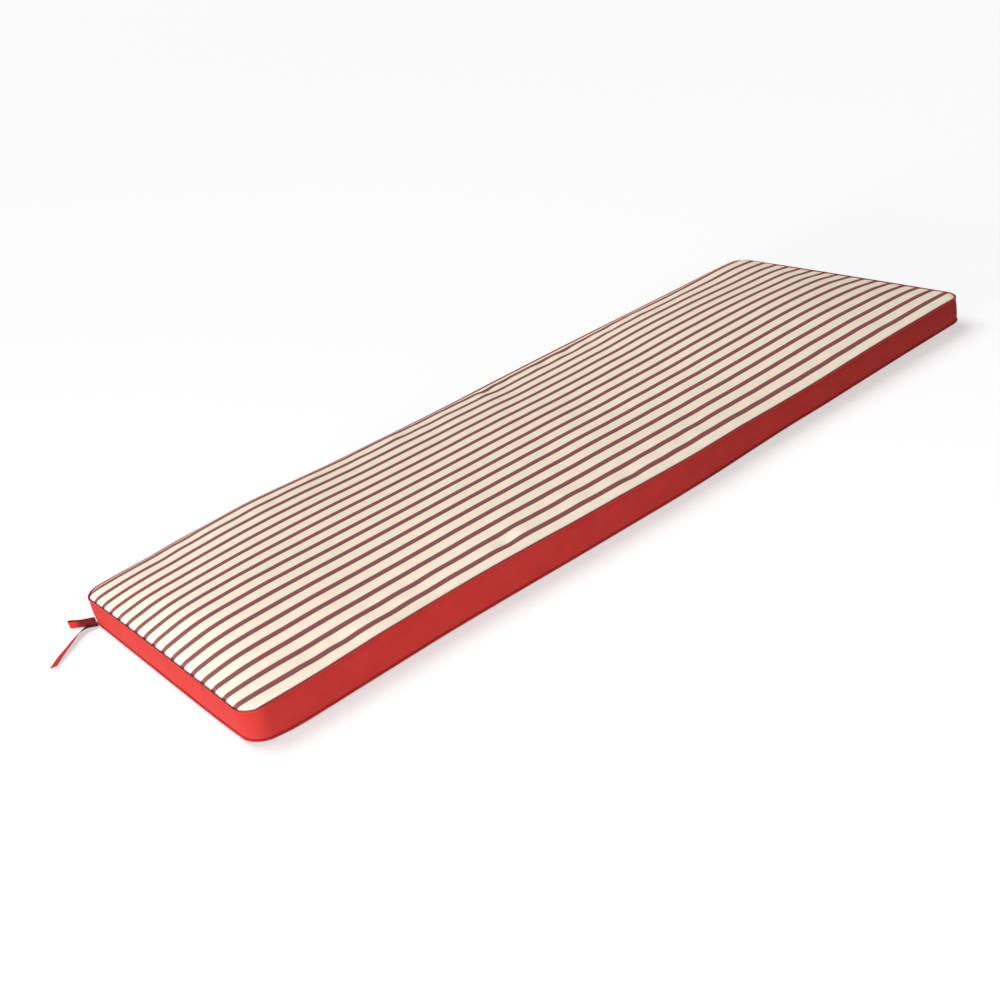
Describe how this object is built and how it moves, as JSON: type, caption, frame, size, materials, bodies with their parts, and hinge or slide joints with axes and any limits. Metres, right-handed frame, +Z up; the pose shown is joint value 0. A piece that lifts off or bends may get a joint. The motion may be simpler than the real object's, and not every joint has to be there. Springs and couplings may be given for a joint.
{
  "type": "sun lounger cushion",
  "caption": "Long padded lounger cushion with a striped top, plain boxed sides, piped seams and a flat tape tie at one corner.",
  "frame": {"origin": "middle of the flat underside, on the surface that the cushion lies on", "axes": "+X along the cushion, away from the end with the tie; +Y across the cushion, towards the long side with the tie; +Z up through the thickness"},
  "size_m": [2.0221, 0.7008, 0.0934],
  "materials": {
    "boxing_cloth": "plain woven red outdoor cloth, matt",
    "striped_cloth": "woven cream cloth with dark red stripes along the cushion, matt",
    "underside_cloth": "plain woven red outdoor cloth, matt",
    "piping_cloth": "red cloth casing over a cord, matt",
    "tie_tape": "narrow woven red tape, matt"
  },
  "bodies": {
    "root": {"boxed_body": "boxing_cloth", "top_panel": "striped_cloth", "underside_panel": "underside_cloth", "top_piping": "piping_cloth", "bottom_piping": "piping_cloth", "tie_folded_strand": "tie_tape", "tie_free_strand": "tie_tape"}
  },
  "joints": []
}
